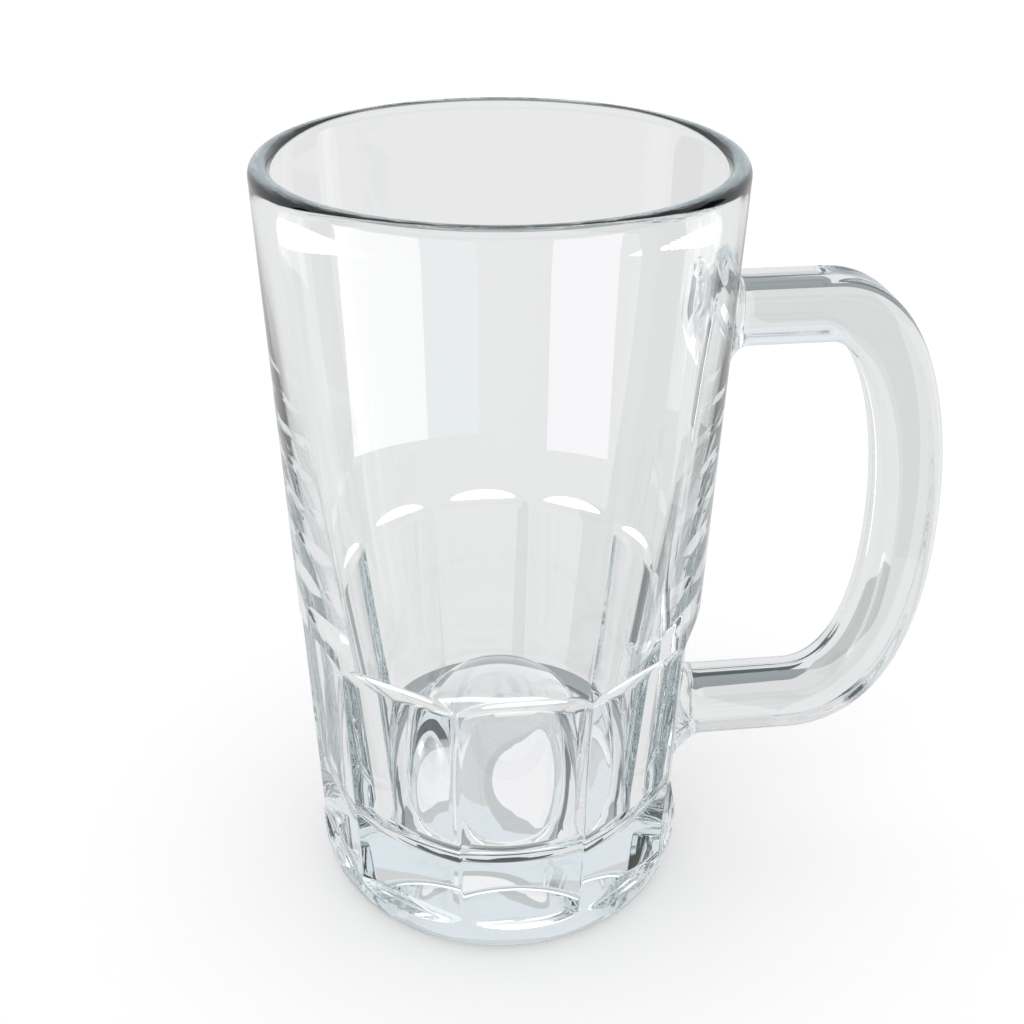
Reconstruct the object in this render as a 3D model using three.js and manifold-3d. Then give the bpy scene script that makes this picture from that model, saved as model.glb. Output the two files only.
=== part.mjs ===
// A heavy pressed-glass beer mug: a tapering tumbler with ten flat facets round its lower half,
// scooped out at the top, a floor that rises to a dome in the middle, a shallow hollow under the foot,
// and a solid D-shaped handle fused to its side.
// Millimetres, +Z up, the handle towards +X. The origin is on the standing plane, half-way between
// the far side of the rim and the outside of the grip.

import * as THREE from 'three';
import { mergeVertices } from 'three/addons/utils/BufferGeometryUtils.js';
import Module from 'manifold-3d';

// Tumbler, outside
const HEIGHT = 143.5;
const RIM_DIAMETER = 82;
const FOOT_DIAMETER = 72.4; // of the wall's cone, carried down to the standing plane
const LIP_HEIGHT = 2.1; // round top of the rim
const HEEL_WIDTH = 4.4; // round edge of the foot
const HEEL_HEIGHT = 9;

// Tumbler, inside
const RIM_WALL = 3.7;
const THICKENING_HEIGHT = 105; // the wall thickens from here down
const LOWER_WALL = 9; // where it turns in to the floor
const TROUGH_HEIGHT = 15.8; // lowest ring of the floor
const TROUGH_WIDTH = 1;
const TURN_HEIGHT = 8.2; // round between the wall and the trough
const DOME_RADIUS = 20;
const DOME_HEIGHT = 22; // above the trough
const DOME_FULLNESS = 2.3; // 2 is a plain oval, and more is squarer in the shoulder

// Underside
const STANDING_RING = 3.8; // flat ring inside the heel
const HOLLOW_DEPTH = 1.4;

// Facets
const FACET_COUNT = 10;
const FACET_DEPTH = 2;
const FACET_HEIGHT = 56; // up to where the scooped shoulder starts
const SHOULDER_RADIUS = 6.8;

// Handle
const HANDLE_WIDTH = 12.7;
const HANDLE_THICKNESS = 11.8;
const HANDLE_EDGE_RADIUS = 3.4;
const UPPER_ARM_DROP = 28.7; // from the rim down to the middle of the upper arm
const LOWER_ARM_HEIGHT = 30.5;
const GRIP_REACH = 78.2; // middle of the grip, from the tumbler's axis
const GRIP_HEIGHT = 68; // where the grip reaches out most
const BEND_REACH = 19.6; // from the end of each straight arm out to the grip
const ARM_PULL = 12.5; // how far each arm holds its line into the bend
const GRIP_PULL = 24.5; // how far the grip holds its line, up and down
const WELD_FLARE = 3.2; // round fillet where an arm meets the wall
const WELD_DROP = 0.3; // share of the fillet by which it hangs lower
const WELD_GAP = 0.3; // seam left between the handle and the wall

// Fineness of the faceted solids
const STEPS_PER_FACET = 6;
const ARC_STEPS = 8;
const CORNER_STEPS = 4;
const BEND_STEPS = 16;

const GLASS = { color: 0xdfe6e8, roughness: 0.04, metalness: 0, transparent: true, opacity: 0.45 };

const rimRadius = RIM_DIAMETER / 2;
const footRadius = FOOT_DIAMETER / 2;
const wallTop = HEIGHT - LIP_HEIGHT;
const turnTop = TROUGH_HEIGHT + TURN_HEIGHT;
const standingRadius = coneRadius(HEEL_HEIGHT) - HEEL_WIDTH;
const hollowRadius = standingRadius - STANDING_RING;
const upperArmHeight = HEIGHT - UPPER_ARM_DROP;
const armReach = GRIP_REACH - BEND_REACH;
const middle = (GRIP_REACH + HANDLE_THICKNESS / 2 - rimRadius) / 2;

const wasm = await Module();
wasm.setup();

// Radius of the tumbler's outer cone at a height.
function coneRadius(z) {
  return THREE.MathUtils.mapLinear(z, 0, wallTop, footRadius, rimRadius);
}

// Manifold solid from a closed three.js geometry.
function solidFrom(geometry) {
  geometry.deleteAttribute('normal');
  geometry.deleteAttribute('uv');
  const merged = mergeVertices(geometry, 1e-4);
  const index = merged.index.array;
  const triVerts = [];
  for (let i = 0; i < index.length; i += 3) {
    const [a, b, c] = index.subarray(i, i + 3);
    if (a !== b && b !== c && c !== a) triVerts.push(a, b, c);
  }
  return new wasm.Manifold(new wasm.Mesh({
    numProp: 3,
    vertProperties: new Float32Array(merged.attributes.position.array),
    triVerts: new Uint32Array(triVerts),
  }));
}

// Named glass mesh from a manifold solid, moved to the part's origin.
function glassMesh(name, solid) {
  const { vertProperties, triVerts } = solid.getMesh();
  const geometry = new THREE.BufferGeometry();
  geometry.setAttribute('position', new THREE.BufferAttribute(vertProperties, 3));
  geometry.setIndex(new THREE.BufferAttribute(triVerts, 1));
  geometry.translate(-middle, 0, 0);
  geometry.computeVertexNormals();
  const mesh = new THREE.Mesh(geometry, new THREE.MeshStandardMaterial(GLASS));
  mesh.name = name;
  return mesh;
}

// Solid of revolution about Z from a profile of (radius, height) points that starts and ends on the axis.
function revolve(profile) {
  const geometry = new THREE.LatheGeometry(profile, FACET_COUNT * STEPS_PER_FACET, Math.PI / 2);
  geometry.rotateX(Math.PI / 2);
  return solidFrom(geometry);
}

// Quarter oval from one (radius, height) point to another, leaving the first one upright or level.
function quarterOval(from, to, leavesUpright, fullness = 2) {
  const points = [];
  for (let i = 0; i <= ARC_STEPS; i += 1) {
    const t = (i / ARC_STEPS) * (Math.PI / 2);
    const cosine = Math.max(Math.cos(t), 0) ** (2 / fullness);
    const sine = Math.sin(t) ** (2 / fullness);
    const [across, along] = leavesUpright ? [1 - cosine, sine] : [sine, 1 - cosine];
    points.push(new THREE.Vector2(
      from.x + (to.x - from.x) * across,
      from.y + (to.y - from.y) * along,
    ));
  }
  return points;
}

// Underside of the foot, from the middle of its hollow to the hollow's edge.
function hollowProfile() {
  const points = [];
  for (let i = 0; i <= ARC_STEPS; i += 1) {
    const share = i / ARC_STEPS;
    points.push(new THREE.Vector2(hollowRadius * share, HOLLOW_DEPTH * (1 - share * share)));
  }
  return points;
}

// Tumbler profile: the underside, the heel, the wall, over the lip and down to the middle of the floor.
function tumblerProfile() {
  const heelFoot = new THREE.Vector2(standingRadius, 0);
  const heelTop = new THREE.Vector2(coneRadius(HEEL_HEIGHT), HEEL_HEIGHT);
  const lipOutside = new THREE.Vector2(rimRadius, wallTop);
  const lipCrown = new THREE.Vector2(rimRadius - RIM_WALL / 2, HEIGHT);
  const lipInside = new THREE.Vector2(rimRadius - RIM_WALL, wallTop);
  const thickening = new THREE.Vector2(coneRadius(THICKENING_HEIGHT) - RIM_WALL, THICKENING_HEIGHT);
  const innerFoot = new THREE.Vector2(coneRadius(turnTop) - LOWER_WALL, turnTop);
  const troughEdge = new THREE.Vector2(DOME_RADIUS + TROUGH_WIDTH, TROUGH_HEIGHT);
  const domeFoot = new THREE.Vector2(DOME_RADIUS, TROUGH_HEIGHT);
  const domeTop = new THREE.Vector2(0, TROUGH_HEIGHT + DOME_HEIGHT);
  return [
    ...hollowProfile(),
    ...quarterOval(heelFoot, heelTop, false),
    ...quarterOval(lipOutside, lipCrown, true),
    ...quarterOval(lipCrown, lipInside, false).slice(1),
    thickening,
    ...quarterOval(innerFoot, troughEdge, true),
    ...quarterOval(domeFoot, domeTop, true, DOME_FULLNESS),
  ];
}

// Cutter for one facet: a tilted flat from below the foot up to a scooped shoulder that runs out through
// the wall. Grow moves the flat outwards.
function facetCutter(number, grow) {
  const flatAt = (z) => coneRadius(z) - FACET_DEPTH + grow;
  const below = -HEEL_HEIGHT;
  const outside = rimRadius + SHOULDER_RADIUS;
  const shape = new THREE.Shape();
  shape.moveTo(outside, below);
  shape.lineTo(outside, FACET_HEIGHT + SHOULDER_RADIUS);
  shape.lineTo(flatAt(FACET_HEIGHT) + SHOULDER_RADIUS, FACET_HEIGHT + SHOULDER_RADIUS);
  shape.absarc(flatAt(FACET_HEIGHT) + SHOULDER_RADIUS, FACET_HEIGHT, SHOULDER_RADIUS, Math.PI / 2, Math.PI, false);
  shape.lineTo(flatAt(below), below);
  const geometry = new THREE.ExtrudeGeometry(shape, {
    depth: RIM_DIAMETER,
    bevelEnabled: false,
    curveSegments: ARC_STEPS,
  });
  geometry.translate(0, 0, -RIM_DIAMETER / 2);
  geometry.rotateX(Math.PI / 2);
  geometry.rotateZ(((number + 0.5) / FACET_COUNT) * 2 * Math.PI);
  return solidFrom(geometry);
}

// A solid with its facets cut.
function faceted(solid, grow) {
  let result = solid;
  for (let number = 0; number < FACET_COUNT; number += 1) result = result.subtract(facetCutter(number, grow));
  return result;
}

// Outside of the tumbler as a filled solid, grown by the seam that the handle keeps from it.
function seamSolid() {
  return faceted(revolve([
    new THREE.Vector2(0, 0),
    new THREE.Vector2(footRadius + WELD_GAP, 0),
    new THREE.Vector2(rimRadius + WELD_GAP, wallTop),
    new THREE.Vector2(0, wallTop),
  ]), WELD_GAP);
}

// Corner points of the handle's rounded rectangle, as (across, outwards), when it is grown by a flare.
function handleSection(flare) {
  const radius = HANDLE_EDGE_RADIUS + flare;
  const across = HANDLE_WIDTH / 2 + flare - radius;
  const outwards = HANDLE_THICKNESS / 2 + flare - radius;
  const points = [];
  for (const [side, end, start] of [[1, 1, 0], [-1, 1, 1], [-1, -1, 2], [1, -1, 3]]) {
    for (let i = 0; i <= CORNER_STEPS; i += 1) {
      const angle = (start + i / CORNER_STEPS) * (Math.PI / 2);
      points.push([side * across + radius * Math.cos(angle), end * outwards + radius * Math.sin(angle)]);
    }
  }
  return points;
}

// Distance along X from the body's axis to the wall's outside, at a place across the handle and a height.
function wallReach(across, height) {
  const cone = coneRadius(height);
  const round = Math.sqrt(cone ** 2 - across ** 2);
  const halfFacet = Math.PI / FACET_COUNT;
  const flat = (cone - FACET_DEPTH - Math.abs(across) * Math.sin(halfFacet)) / Math.cos(halfFacet);
  return height < FACET_HEIGHT ? Math.min(round, flat) : round;
}

// Stations along one arm from inside the wall to the end of its flare, each {x, z, flare}.
function armStations(height) {
  const wall = coneRadius(height);
  const stations = [{ x: wall - FACET_DEPTH - WELD_FLARE, z: height, flare: WELD_FLARE }];
  for (let i = 0; i <= ARC_STEPS; i += 1) {
    const turn = (i / ARC_STEPS) * (Math.PI / 2);
    stations.push({
      x: wall + WELD_FLARE * (1 - Math.cos(turn)),
      z: height,
      flare: WELD_FLARE * (1 - Math.sin(turn)),
    });
  }
  return stations;
}

// Solid handle: the section carried along the upper arm, round the grip and back along the lower arm, its
// flared ends laid on the wall.
function handleSolid() {
  const upperBend = new THREE.CubicBezierCurve(
    new THREE.Vector2(armReach, upperArmHeight),
    new THREE.Vector2(armReach + ARM_PULL, upperArmHeight),
    new THREE.Vector2(GRIP_REACH, GRIP_HEIGHT + GRIP_PULL),
    new THREE.Vector2(GRIP_REACH, GRIP_HEIGHT),
  );
  const lowerBend = new THREE.CubicBezierCurve(
    new THREE.Vector2(GRIP_REACH, GRIP_HEIGHT),
    new THREE.Vector2(GRIP_REACH, GRIP_HEIGHT - GRIP_PULL),
    new THREE.Vector2(armReach + ARM_PULL, LOWER_ARM_HEIGHT),
    new THREE.Vector2(armReach, LOWER_ARM_HEIGHT),
  );
  const stations = [];
  for (const station of armStations(upperArmHeight)) stations.push({ ...station, tangent: new THREE.Vector2(1, 0) });
  for (const bend of [upperBend, lowerBend]) {
    for (let i = bend === upperBend ? 0 : 1; i <= BEND_STEPS; i += 1) {
      const point = bend.getPoint(i / BEND_STEPS);
      stations.push({ x: point.x, z: point.y, flare: 0, tangent: bend.getTangent(i / BEND_STEPS) });
    }
  }
  for (const station of armStations(LOWER_ARM_HEIGHT).reverse()) {
    stations.push({ ...station, tangent: new THREE.Vector2(-1, 0) });
  }

  const positions = [];
  for (const { x, z, flare, tangent } of stations) {
    for (const [across, outwards] of handleSection(flare)) {
      const height = z - WELD_DROP * flare + outwards * tangent.x;
      const lean = (wallReach(across, height) - coneRadius(z)) * (flare / WELD_FLARE);
      positions.push(x - outwards * tangent.y + lean, across, height);
    }
  }
  const ring = handleSection(0).length;
  const last = (stations.length - 1) * ring;
  const index = [];
  for (let i = 0; i < last; i += ring) {
    for (let j = 0; j < ring; j += 1) {
      const k = (j + 1) % ring;
      index.push(i + j, i + k, i + ring + k, i + j, i + ring + k, i + ring + j);
    }
  }
  for (let j = 1; j < ring - 1; j += 1) index.push(0, j + 1, j, last, last + j, last + j + 1);
  const geometry = new THREE.BufferGeometry();
  geometry.setAttribute('position', new THREE.Float32BufferAttribute(positions, 3));
  geometry.setIndex(index);
  return solidFrom(geometry);
}

const group = new THREE.Group();
group.name = 'beer_mug';
group.add(glassMesh('mug_body', faceted(revolve(tumblerProfile()), 0)));
group.add(glassMesh('handle', handleSolid().subtract(seamSolid())));

export default group;
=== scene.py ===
"""A clear pressed-glass beer mug on a white table: faceted body, domed floor and a fused D-shaped handle."""

import math

import bpy
import numpy as np
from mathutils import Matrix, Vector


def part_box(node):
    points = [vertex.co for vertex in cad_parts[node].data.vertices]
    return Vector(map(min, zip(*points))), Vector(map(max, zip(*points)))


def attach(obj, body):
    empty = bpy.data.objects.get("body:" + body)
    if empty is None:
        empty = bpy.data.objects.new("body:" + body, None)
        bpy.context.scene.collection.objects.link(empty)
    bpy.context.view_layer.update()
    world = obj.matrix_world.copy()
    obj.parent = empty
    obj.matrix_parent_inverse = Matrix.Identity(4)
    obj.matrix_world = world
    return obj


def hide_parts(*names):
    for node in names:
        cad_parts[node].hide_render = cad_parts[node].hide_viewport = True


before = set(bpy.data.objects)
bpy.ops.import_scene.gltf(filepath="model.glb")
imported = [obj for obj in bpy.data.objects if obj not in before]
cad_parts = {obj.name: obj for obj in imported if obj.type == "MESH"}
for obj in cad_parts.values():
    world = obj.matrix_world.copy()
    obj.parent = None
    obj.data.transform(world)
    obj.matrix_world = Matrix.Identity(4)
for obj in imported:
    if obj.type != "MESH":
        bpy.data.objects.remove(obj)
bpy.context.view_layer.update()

# Sizes of the body in millimetres, about its own axis
HEIGHT = 143.5
RIM_RADIUS = 41.0
FOOT_RADIUS = 36.2
LIP_HEIGHT = 2.1
HEEL_WIDTH, HEEL_HEIGHT = 3.8, 9.0
INNER_RIM = 37.3
INNER_FOOT = 27.9
LOWER_TAPER, UPPER_TAPER, TAPER_BLEND = 0.108, 0.036, 3.0
TROUGH_HEIGHT, TROUGH_RADIUS = 15.8, 21.0
TURN_TOP = 24.0
DOME_RADIUS, DOME_HEIGHT, DOME_FULLNESS = 20.0, 22.0, 2.3
HOLLOW_RADIUS, HOLLOW_DEPTH = 28.3, 1.4
FACETS = 10
FACET_DEPTH = 2.0
FACET_HEIGHT = 56.0
SHOULDER_RADIUS = 6.8
LEDGE_HEIGHT, LEDGE_RADIUS = 10.0, 3.2
EDGE_SOFTNESS = 0.28

# Sizes of the handle in millimetres, from the body's axis and the table
HANDLE_WIDTH, HANDLE_THICKNESS, HANDLE_EDGE = 12.7, 11.8, 3.4
UPPER_ARM, LOWER_ARM = 114.8, 30.5
ARM_REACH, GRIP_REACH, GRIP_HEIGHT = 58.6, 78.2, 68.0
ARM_PULL, GRIP_PULL = 12.5, 24.5
WELD_FLARE, WELD_DROP, WELD_SEAM = 3.2, 0.3, 0.02

WALL_TOP = HEIGHT - LIP_HEIGHT
SHOULDER_TOP = FACET_HEIGHT + SHOULDER_RADIUS
HALF_FACET = math.pi / FACETS
QUARTER = math.pi / 2
MM = 0.001

# Points along each part of the body's profile, from the hollow foot round to the dome
HOLLOW_ROWS, RING_ROWS, HEEL_ROWS, LEDGE_ROWS = 30, 6, 36, 6
FACET_ROWS, SHOULDER_ROWS, WALL_ROWS, LIP_ROWS = 22, 60, 26, 24
INSIDE_ROWS, TURN_ROWS, DOME_ROWS = 40, 28, 64
POLE_GAP, DOME_GAP, ARC_SHARE = 0.02, 0.005, 0.999
LEDGE_MARGIN, SHOULDER_MARGIN, SHOULDER_TOP_MARGIN = 0.5, 1.5, 1

# Degrees from an edge between two facets to the middle of a facet
COLUMN_STEPS = (0, 0.15, 0.35, 0.6, 0.9, 1.3, 1.8, 2.5, 3.5, 5, 7, 9.5, 12.5, 15.5, 18)

# Points along the handle and round its section
CORNER_POINTS, FILLET_ROWS, GRIP_ROWS = 13, 24, 40
SIDE_SHARES = (0.04, 0.15, 0.4, 0.6, 0.85, 0.96)
WELD_SHARES = (0.15, 0.3, 0.45, 0.6, 0.72, 0.82, 0.9, 0.96)

body_low, body_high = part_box("mug_body")
AXIS_X = (body_low[0] + body_high[0]) / 2


def cone(z):
    """Radius of the outer wall's cone at height z."""
    return FOOT_RADIUS + (RIM_RADIUS - FOOT_RADIUS) * z / WALL_TOP


def smooth_min(a, b, width):
    """The lower of two arrays, rounded off where they come within a width of each other."""
    share = np.maximum(width - np.abs(a - b), 0) / width
    return np.minimum(a, b) - width * share**2 / 4


def arc_out(along, radius):
    """How far an arc has swung out of a straight line at a distance along it, short of a quarter turn."""
    along = np.clip(along, 0, radius * ARC_SHARE)
    return radius - np.sqrt(radius**2 - along**2)


def facet_flat(z):
    """Distance of the facets from the axis: parallel to the cone, with an arc outwards at each end."""
    shoulder = arc_out(z - FACET_HEIGHT, SHOULDER_RADIUS)
    ledge = arc_out(LEDGE_HEIGHT - z, LEDGE_RADIUS)
    return cone(z) - FACET_DEPTH + shoulder + ledge


def outer_radius(round_radius, z, angle):
    """The round wall cut by its two nearest facets, with all the edges between them slightly rounded."""
    from_middle = np.abs(angle % (2 * HALF_FACET) - HALF_FACET)
    near = facet_flat(z) / np.cos(from_middle)
    next_one = facet_flat(z) / np.cos(2 * HALF_FACET - from_middle)
    return smooth_min(smooth_min(near, next_one, EDGE_SOFTNESS), round_radius, EDGE_SOFTNESS)


def inner_radius(z):
    """Inside of the wall: a steep lower taper run smoothly into a near parallel upper wall."""
    lower = INNER_FOOT + LOWER_TAPER * (z - TURN_TOP)
    upper = INNER_RIM + UPPER_TAPER * (z - WALL_TOP)
    return smooth_min(lower, upper, TAPER_BLEND)


def closed_mesh(name, points, first_end, last_end):
    """Mesh of a grid of points, rows by columns, closed round each row and to a point at each end."""
    rows, columns = points.shape[:2]
    every = np.vstack([points.reshape(-1, 3), [first_end, last_end]]) * MM
    every[:, 0] += AXIS_X
    row, column = np.meshgrid(np.arange(rows - 1), np.arange(columns), indexing="ij")
    after = (column + 1) % columns
    lower, upper = row * columns, (row + 1) * columns
    quads = np.stack([lower + column, lower + after, upper + after, upper + column], -1).reshape(-1, 4)
    column = np.arange(columns)
    after = (column + 1) % columns
    top = (rows - 1) * columns
    start = np.stack([after, column, np.full(columns, rows * columns)], -1)
    end = np.stack([top + column, top + after, np.full(columns, rows * columns + 1)], -1)
    mesh = bpy.data.meshes.new(name)
    mesh.from_pydata(every.tolist(), [], quads.tolist() + start.tolist() + end.tolist())
    mesh.polygons.foreach_set("use_smooth", np.ones(len(mesh.polygons), bool))
    mesh.update()
    made = bpy.data.objects.new(name, mesh)
    bpy.context.collection.objects.link(made)
    return made


def body_columns():
    """Angles round the axis, close together at each edge between two facets."""
    half = np.radians(COLUMN_STEPS)
    one = np.concatenate([half, 2 * HALF_FACET - half[-2:0:-1]])
    return (one[None, :] + 2 * HALF_FACET * np.arange(FACETS)[:, None]).ravel()


def after_first(start, end, count):
    """Even steps from a start, which the part before already holds, to an end."""
    return np.linspace(start, end, count)[1:]


def dome_profile():
    """Radius and height of the dome from its foot up, a quarter of an oval that is a little squared."""
    turn = np.linspace(0, QUARTER - DOME_GAP, DOME_ROWS)
    power = 2 / DOME_FULLNESS
    return DOME_RADIUS * np.cos(turn) ** power, TROUGH_HEIGHT + DOME_HEIGHT * np.sin(turn) ** power


def body_rows():
    """Profile of the body as radius, height and whether the facets cut it.

    From the middle of the hollow foot the profile runs over the standing ring, round the oval heel,
    up the cone, over the half-oval lip, down the inside, round a quarter oval into the trough
    and up the oval dome."""
    parts = []
    turn = np.linspace(POLE_GAP, QUARTER, HOLLOW_ROWS)
    hollow = HOLLOW_RADIUS * np.sin(turn)
    parts.append((hollow, HOLLOW_DEPTH * (1 - (hollow / HOLLOW_RADIUS) ** 2), False))
    heel_radius = cone(HEEL_HEIGHT) - HEEL_WIDTH
    ring = after_first(HOLLOW_RADIUS, heel_radius, RING_ROWS)
    parts.append((ring, 0 * ring, False))
    turn = after_first(0, QUARTER, HEEL_ROWS)
    parts.append((heel_radius + HEEL_WIDTH * np.sin(turn), HEEL_HEIGHT * (1 - np.cos(turn)), True))
    ledge_end = LEDGE_HEIGHT + LEDGE_MARGIN
    facet_end = FACET_HEIGHT - SHOULDER_MARGIN
    shoulder_end = SHOULDER_TOP - SHOULDER_TOP_MARGIN
    ledge = after_first(HEEL_HEIGHT, ledge_end, LEDGE_ROWS)
    facet = after_first(ledge_end, facet_end, FACET_ROWS)
    shoulder = after_first(facet_end, shoulder_end, SHOULDER_ROWS)
    plain = after_first(shoulder_end, WALL_TOP, WALL_ROWS)
    wall = np.concatenate([ledge, facet, shoulder, plain])
    parts.append((cone(wall), wall, True))
    turn = after_first(0, math.pi, LIP_ROWS)
    crown, thick = (RIM_RADIUS + INNER_RIM) / 2, (RIM_RADIUS - INNER_RIM) / 2
    parts.append((crown + thick * np.cos(turn), WALL_TOP + LIP_HEIGHT * np.sin(turn), False))
    inside = after_first(WALL_TOP, TURN_TOP, INSIDE_ROWS)
    parts.append((inner_radius(inside), inside, False))
    turn = after_first(0, QUARTER, TURN_ROWS)
    foot = inner_radius(np.array(TURN_TOP))
    depth = TURN_TOP - TROUGH_HEIGHT
    bend = foot - (foot - TROUGH_RADIUS) * (1 - np.cos(turn))
    parts.append((bend, TURN_TOP - depth * np.sin(turn), False))
    parts.append((*dome_profile(), False))
    radius = np.concatenate([part[0] for part in parts])
    height = np.concatenate([part[1] for part in parts])
    cut = np.concatenate([np.full(len(part[0]), part[2]) for part in parts])
    return radius, height, cut


def build_body():
    """Body: its profile turned about the axis, with the radius of the facets where they cut it."""
    radius, height, cut = body_rows()
    angle = body_columns()
    z = np.repeat(height[:, None], len(angle), 1)
    r = np.repeat(radius[:, None], len(angle), 1)
    r[cut] = outer_radius(r[cut], z[cut], np.broadcast_to(angle, r[cut].shape))
    points = np.stack([r * np.cos(angle), r * np.sin(angle), z], -1)
    return closed_mesh("mug_body_glass", points, (0, 0, HOLLOW_DEPTH), (0, 0, TROUGH_HEIGHT + DOME_HEIGHT))


def wall_reach(across, z):
    """Distance along X from the axis to the body's outside, at a place across the handle and a height.

    The wall's radius is taken at the bearing of the last reach, and four rounds settle it."""
    reach = cone(z)
    for _ in range(4):
        around = outer_radius(cone(z), z, np.arctan2(across, reach))
        reach = np.sqrt(around**2 - across**2)
    return reach


def section(flare):
    """Rounded rectangle of the handle, grown by a flare, as points across the handle and outwards.

    Each corner is a quarter circle, followed by points on the straight side to the next corner."""
    corner = HANDLE_EDGE + flare
    across, outwards = HANDLE_WIDTH / 2 + flare - corner, HANDLE_THICKNESS / 2 + flare - corner
    turn = np.linspace(0, QUARTER, CORNER_POINTS)
    share = np.array(SIDE_SHARES)[:, None]
    corners = [(1, 1), (-1, 1), (-1, -1), (1, -1)]
    points = []
    for number, (side, end) in enumerate(corners):
        angle = turn + number * QUARTER
        arc = np.stack([side * across + corner * np.cos(angle), end * outwards + corner * np.sin(angle)], -1)
        next_side, next_end = corners[(number + 1) % 4]
        begin = (number + 1) * QUARTER
        target = np.array([
            next_side * across + corner * math.cos(begin),
            next_end * outwards + corner * math.sin(begin),
        ])
        points += [arc, arc[-1] * (1 - share) + target * share]
    return np.vstack(points)


def bezier(p0, p1, p2, p3, share):
    """Points and unit directions of a cubic Bezier curve."""
    t = share[:, None]
    point = (1 - t) ** 3 * p0 + 3 * (1 - t) ** 2 * t * p1 + 3 * (1 - t) * t**2 * p2 + t**3 * p3
    way = (1 - t) ** 2 * (p1 - p0) + 2 * (1 - t) * t * (p2 - p1) + t**2 * (p3 - p2)
    return point, way / np.linalg.norm(way, axis=1, keepdims=True)


def arm_rows(height, way):
    """One arm from the middle of its end on the wall to where its flare has died out, as rows of points.

    The end lies on the wall, and the flare shrinks over a quarter turn as the arm leaves it."""
    rows = []
    full = section(WELD_FLARE)
    for share in WELD_SHARES:
        z = height - WELD_DROP * WELD_FLARE + full[:, 1] * share * way
        across = full[:, 0] * share
        rows.append(np.stack([wall_reach(across, z) + WELD_SEAM, across, z], -1))
    for turn in np.linspace(0, QUARTER, FILLET_ROWS):
        flare = WELD_FLARE * (1 - math.sin(turn))
        out = WELD_FLARE * (1 - math.cos(turn)) + WELD_SEAM
        points = section(flare)
        z = height - WELD_DROP * flare + points[:, 1] * way
        lean = (wall_reach(points[:, 0], z) - cone(height)) * flare / WELD_FLARE
        rows.append(np.stack([cone(height) + out + lean, points[:, 0], z], -1))
    return rows


def build_handle():
    """Handle: a rounded rectangle carried along the upper arm, the grip and back along the lower arm."""
    plain = section(0)
    rows = arm_rows(UPPER_ARM, 1)
    share = np.linspace(0, 1, GRIP_ROWS)
    top = np.array([ARM_REACH, UPPER_ARM])
    bottom = np.array([ARM_REACH, LOWER_ARM])
    grip = np.array([GRIP_REACH, GRIP_HEIGHT])
    arm, hold = np.array([ARM_PULL, 0]), np.array([0, GRIP_PULL])
    first = bezier(top, top + arm, grip + hold, grip, share)
    second = bezier(grip, grip - hold, bottom + arm, bottom, share[1:])
    for points, ways in (first, second):
        for point, way in zip(points, ways):
            x = point[0] - plain[:, 1] * way[1]
            z = point[1] + plain[:, 1] * way[0]
            rows.append(np.stack([x, plain[:, 0], z], -1))
    rows += arm_rows(LOWER_ARM, -1)[::-1]
    ends = []
    for height in (UPPER_ARM, LOWER_ARM):
        z = height - WELD_DROP * WELD_FLARE
        ends.append((float(wall_reach(np.zeros(1), np.array([z]))[0]) + WELD_SEAM, 0, z))
    return closed_mesh("handle_glass", np.array(rows), *ends)


def glass(name):
    """Clear glass: a faint grey-teal absorption through its thickness and a faintly wavy surface."""
    made = bpy.data.materials.new(name)
    made.use_nodes = True
    nodes, links = made.node_tree.nodes, made.node_tree.links
    shader = nodes["Principled BSDF"]
    shader.inputs["Base Color"].default_value = (1, 1, 1, 1)
    shader.inputs["Transmission Weight"].default_value = 1
    shader.inputs["Roughness"].default_value = 0
    shader.inputs["IOR"].default_value = 1.5
    place = nodes.new("ShaderNodeTexCoord")
    wave = nodes.new("ShaderNodeTexNoise")
    wave.inputs["Scale"].default_value = 60
    wave.inputs["Detail"].default_value = 1
    bump = nodes.new("ShaderNodeBump")
    bump.inputs["Strength"].default_value = 0.3
    bump.inputs["Distance"].default_value = 0.000015
    links.new(place.outputs["Object"], wave.inputs["Vector"])
    links.new(wave.outputs["Fac"], bump.inputs["Height"])
    links.new(bump.outputs["Normal"], shader.inputs["Normal"])
    depth = nodes.new("ShaderNodeVolumeAbsorption")
    depth.inputs["Color"].default_value = (0.72, 0.82, 0.84, 1)
    depth.inputs["Density"].default_value = 8
    links.new(depth.outputs["Volume"], nodes["Material Output"].inputs["Volume"])
    return made


body = build_body()
handle = build_handle()
body.data.materials.append(glass("clear_body_glass"))
handle.data.materials.append(glass("clear_handle_glass"))
for piece, node, slot in ((body, "mug_body", "body_glass"), (handle, "handle", "handle_glass")):
    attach(piece, "root")
    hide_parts(node)

# Stage: a white world, a pale floor and large far cards that only the glass sees
SOFT_LIGHT = 0.9
FLOOR_SIZE, FLOOR_DROP, FLOOR_LIFT = 6, 0.0002, 0.26
CARDS_HEIGHT = 0.07
CARD_ROWS, CARD_COLUMNS = 17, 65
OVAL_ROWS, OVAL_COLUMNS, OVAL_START = 9, 49, 0.001
ANY_COUNT = 99


def seen_rays(nodes, links):
    """Socket that is 1 for rays from the camera and for those that glass reflects or lets through."""
    path = nodes.new("ShaderNodeLightPath")
    total = path.outputs["Is Camera Ray"]
    for more in ("Is Glossy Ray", "Is Transmission Ray"):
        joined = nodes.new("ShaderNodeMath")
        joined.operation = "MAXIMUM"
        links.new(total, joined.inputs[0])
        links.new(path.outputs[more], joined.inputs[1])
        total = joined.outputs[0]
    return total


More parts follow.
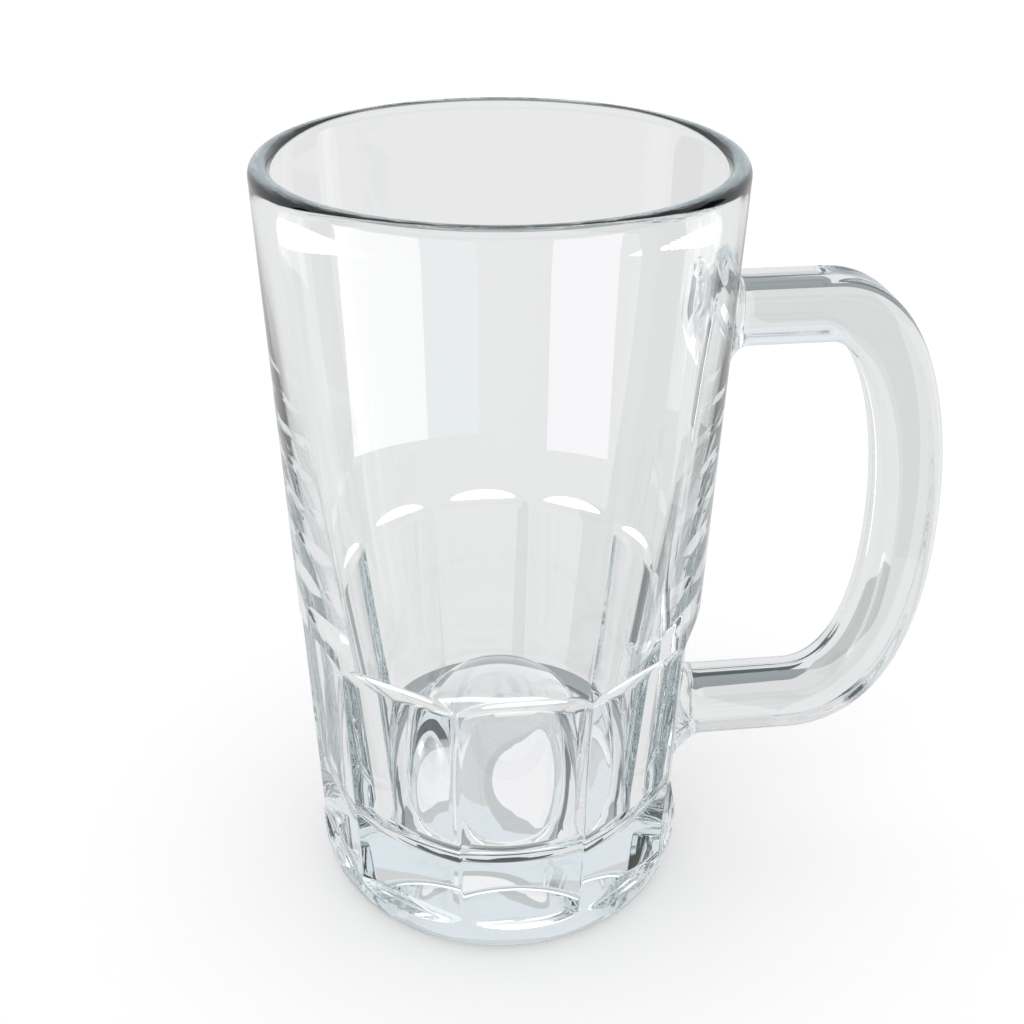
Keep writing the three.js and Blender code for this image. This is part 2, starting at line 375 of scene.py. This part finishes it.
def white_world():
    """White for what the camera and the glass see of it, and a plain soft light for everything else."""
    world = bpy.data.worlds.new("white_studio")
    bpy.context.scene.world = world
    world.use_nodes = True
    nodes, links = world.node_tree.nodes, world.node_tree.links
    soft = nodes["Background"]
    soft.inputs["Color"].default_value = (1, 1, 1, 1)
    soft.inputs["Strength"].default_value = SOFT_LIGHT
    white = nodes.new("ShaderNodeBackground")
    white.inputs["Color"].default_value = (1, 1, 1, 1)
    white.inputs["Strength"].default_value = 1
    mixed = nodes.new("ShaderNodeMixShader")
    links.new(seen_rays(nodes, links), mixed.inputs[0])
    links.new(soft.outputs[0], mixed.inputs[1])
    links.new(white.outputs[0], mixed.inputs[2])
    links.new(mixed.outputs[0], nodes["World Output"].inputs["Surface"])


def white_floor():
    """Pale floor with the mug's shadow, lifted to white for the camera and not seen by the glass."""
    bpy.ops.mesh.primitive_plane_add(size=FLOOR_SIZE, location=(0, 0, -FLOOR_DROP))
    floor = bpy.context.object
    floor.name = "floor"
    made = bpy.data.materials.new("pale_floor")
    made.use_nodes = True
    nodes, links = made.node_tree.nodes, made.node_tree.links
    shader = nodes["Principled BSDF"]
    shader.inputs["Base Color"].default_value = (0.9, 0.9, 0.9, 1)
    shader.inputs["Roughness"].default_value = 0.9
    shader.inputs["Specular IOR Level"].default_value = 0
    shader.inputs["Emission Color"].default_value = (1, 1, 1, 1)
    lift = nodes.new("ShaderNodeMath")
    lift.operation = "MULTIPLY"
    lift.inputs[1].default_value = FLOOR_LIFT
    links.new(seen_rays(nodes, links), lift.inputs[0])
    links.new(lift.outputs[0], shader.inputs["Emission Strength"])
    floor.data.materials.append(made)
    floor.visible_glossy = False
    floor.visible_transmission = False


def shown_share(nodes, links, least, most):
    """Socket that is 1 for rays that have gone through as many glass surfaces as given, and 0 for others."""
    path = nodes.new("ShaderNodeLightPath")
    both = nodes.new("ShaderNodeMath")
    both.operation = "MULTIPLY"
    for number, (way, edge) in enumerate((("GREATER_THAN", least - 0.5), ("LESS_THAN", most + 0.5))):
        test = nodes.new("ShaderNodeMath")
        test.operation = way
        test.inputs[1].default_value = edge
        links.new(path.outputs["Transmission Depth"], test.inputs[0])
        links.new(test.outputs[0], both.inputs[number])
    return both.outputs[0]


def card(name, points, faces, level, least=0, most=ANY_COUNT):
    """Card of one even colour that only glass sees, through no fewer and no more surfaces than given."""
    made = bpy.data.materials.new(name)
    made.use_nodes = True
    nodes, links = made.node_tree.nodes, made.node_tree.links
    nodes.remove(nodes["Principled BSDF"])
    even = nodes.new("ShaderNodeEmission")
    even.inputs["Color"].default_value = (*[value / max(level) for value in level], 1)
    even.inputs["Strength"].default_value = max(level)
    clear = nodes.new("ShaderNodeBsdfTransparent")
    mixed = nodes.new("ShaderNodeMixShader")
    links.new(shown_share(nodes, links, least, most), mixed.inputs[0])
    links.new(clear.outputs[0], mixed.inputs[1])
    links.new(even.outputs[0], mixed.inputs[2])
    links.new(mixed.outputs[0], nodes["Material Output"].inputs["Surface"])
    mesh = bpy.data.meshes.new(name)
    mesh.from_pydata(points.tolist(), [], faces.tolist())
    mesh.materials.append(made)
    sheet = bpy.data.objects.new(name, mesh)
    bpy.context.collection.objects.link(sheet)
    sheet.visible_camera = False
    sheet.visible_diffuse = False
    sheet.visible_shadow = False
    return sheet


def far_points(radius, bearing, height):
    """Points of a large sphere round the mug, by bearing from the front and by height, in degrees."""
    turn, rise = np.radians(bearing), np.radians(height)
    x = AXIS_X + radius * np.cos(rise) * np.sin(turn)
    y = -radius * np.cos(rise) * np.cos(turn)
    return np.stack([x, y, CARDS_HEIGHT + radius * np.sin(rise)], -1).reshape(-1, 3)


def grid_faces(rows, columns):
    """Squares of a grid of points, row after row."""
    row, column = np.meshgrid(np.arange(rows - 1), np.arange(columns - 1), indexing="ij")
    corner = row * columns + column
    return np.stack([corner, corner + 1, corner + columns + 1, corner + columns], -1).reshape(-1, 4)


def far_card(name, radius, bearings, heights, level, least=0, most=ANY_COUNT):
    """Part of the sphere between two bearings and two heights."""
    bearing, height = np.meshgrid(np.linspace(*bearings, CARD_COLUMNS), np.linspace(*heights, CARD_ROWS))
    points = far_points(radius, bearing, height)
    return card(name, points, grid_faces(CARD_ROWS, CARD_COLUMNS), level, least, most)


def far_oval(name, radius, bearing, height, wide, tall, level):
    """Oval part of the sphere about a bearing and a height."""
    around = np.linspace(0, 2 * math.pi, OVAL_COLUMNS)
    turn, size = np.meshgrid(around, np.linspace(OVAL_START, 1, OVAL_ROWS))
    points = far_points(radius, bearing + wide * size * np.cos(turn), height + tall * size * np.sin(turn))
    card(name, points, grid_faces(OVAL_ROWS, OVAL_COLUMNS), level)


def grey(level):
    """Neutral colour of one level."""
    return level, level, level


white_world()
white_floor()

# Distances of the cards in metres: a nearer card hides a farther one
BACKDROP, OVAL_EDGE, PANEL, STRIP, STREAK, LAMP = 3.3, 3.25, 3.2, 3.15, 3.1, 3.0
ALL_ROUND, OVAL_HEIGHT = (-180, 180), 56
DARK = (0.05, 0.07, 0.075)

# Pale studio all round, with three oval lights high up
far_card("pale_below", BACKDROP, ALL_ROUND, (-90, 0), grey(0.82))
far_card("pale_blue", BACKDROP, ALL_ROUND, (0, 45), (0.83, 0.86, 0.895))
far_card("grey_top", BACKDROP, ALL_ROUND, (45, 90), (0.72, 0.69, 0.69))
for number, bearing in enumerate((180, 132, -132)):
    far_oval(f"top_light_edge_{number}", OVAL_EDGE, bearing, OVAL_HEIGHT, wide=13, tall=18, level=grey(0.6))
    far_oval(f"top_light_{number}", PANEL, bearing, OVAL_HEIGHT, wide=11, tall=16, level=(1.06, 1, 1))

# Dark, grey and pale panels for the lines in the lip, the facets, the floor and the handle
far_card("dark_below_front", PANEL, (-95, 95), (-90, -78), DARK)
far_card("dark_below_back", PANEL, (95, 265), (-90, -63), DARK)
far_card("grey_below_back", PANEL, (140, 220), (-63, -47), (0.28, 0.31, 0.32))
far_card("light_behind", PANEL, (140, 220), (-18.5, 28), grey(1.6), least=4)
far_card("dark_front", PANEL, (-110, 110), (7, 28), DARK)
far_card("grey_right", STRIP, (128, 146), (-50, -30), grey(0.55))
far_card("pale_right", PANEL, (144, 163), (-47, -8), grey(0.74))
far_card("dark_joint", STREAK, (98, 131), (-29, -13), DARK, least=3)
far_card("dark_right", STREAK, (129, 144), (-50, -33), DARK, least=3)
far_card("dark_left", STREAK, (-147, -134), (-50, -33), DARK, least=3)

# Softboxes in the outer face's own reflection, the right one on the body alone, and strips at the sides
far_card("left_softbox", LAMP, (-84, -42), (-28.6, 0), grey(4.4), most=0)
far_card("blue_softbox", LAMP, (-42, -16.3), (-28.6, 0), (1, 1.7, 1.9), most=0)
right_softbox = far_card("right_softbox", LAMP, (16.3, 48), (-29.2, 0), (3.8, 3.4, 4), most=0)
lit_pieces = bpy.data.collections.new("lit_by_right_softbox")
lit_pieces.objects.link(body)
right_softbox.light_linking.receiver_collection = lit_pieces
far_card("left_strip", LAMP, (-110, -92), (-30, 0), grey(1.1))
far_card("right_strip", LAMP, (92, 103), (-30, 0), grey(1.5))

# Camera at the photograph's angle and frame
ELEVATION, AZIMUTH = math.radians(28.93), math.radians(-6.7)
DISTANCE, AIM_HEIGHT = 0.2643, 0.07632
FOCAL_PIXELS, FRAME_PIXELS, AXIS_PIXEL = 1419.9, 1024, 499.8
SENSOR_WIDTH = 36
lens = bpy.data.cameras.new("camera")
lens.sensor_width = SENSOR_WIDTH
lens.lens = FOCAL_PIXELS / FRAME_PIXELS * SENSOR_WIDTH
lens.shift_x = (FRAME_PIXELS / 2 - AXIS_PIXEL) / FRAME_PIXELS
camera = bpy.data.objects.new("camera", lens)
bpy.context.collection.objects.link(camera)
level = DISTANCE * math.cos(ELEVATION)
camera.location = (
    AXIS_X + level * math.sin(AZIMUTH),
    -level * math.cos(AZIMUTH),
    AIM_HEIGHT + DISTANCE * math.sin(ELEVATION),
)
camera.rotation_euler = (QUARTER - ELEVATION, 0, AZIMUTH)

scene = bpy.context.scene
scene.camera = camera
scene.view_settings.view_transform = "Standard"
scene.cycles.max_bounces = 32
scene.cycles.transmission_bounces = 32
scene.cycles.glossy_bounces = 16
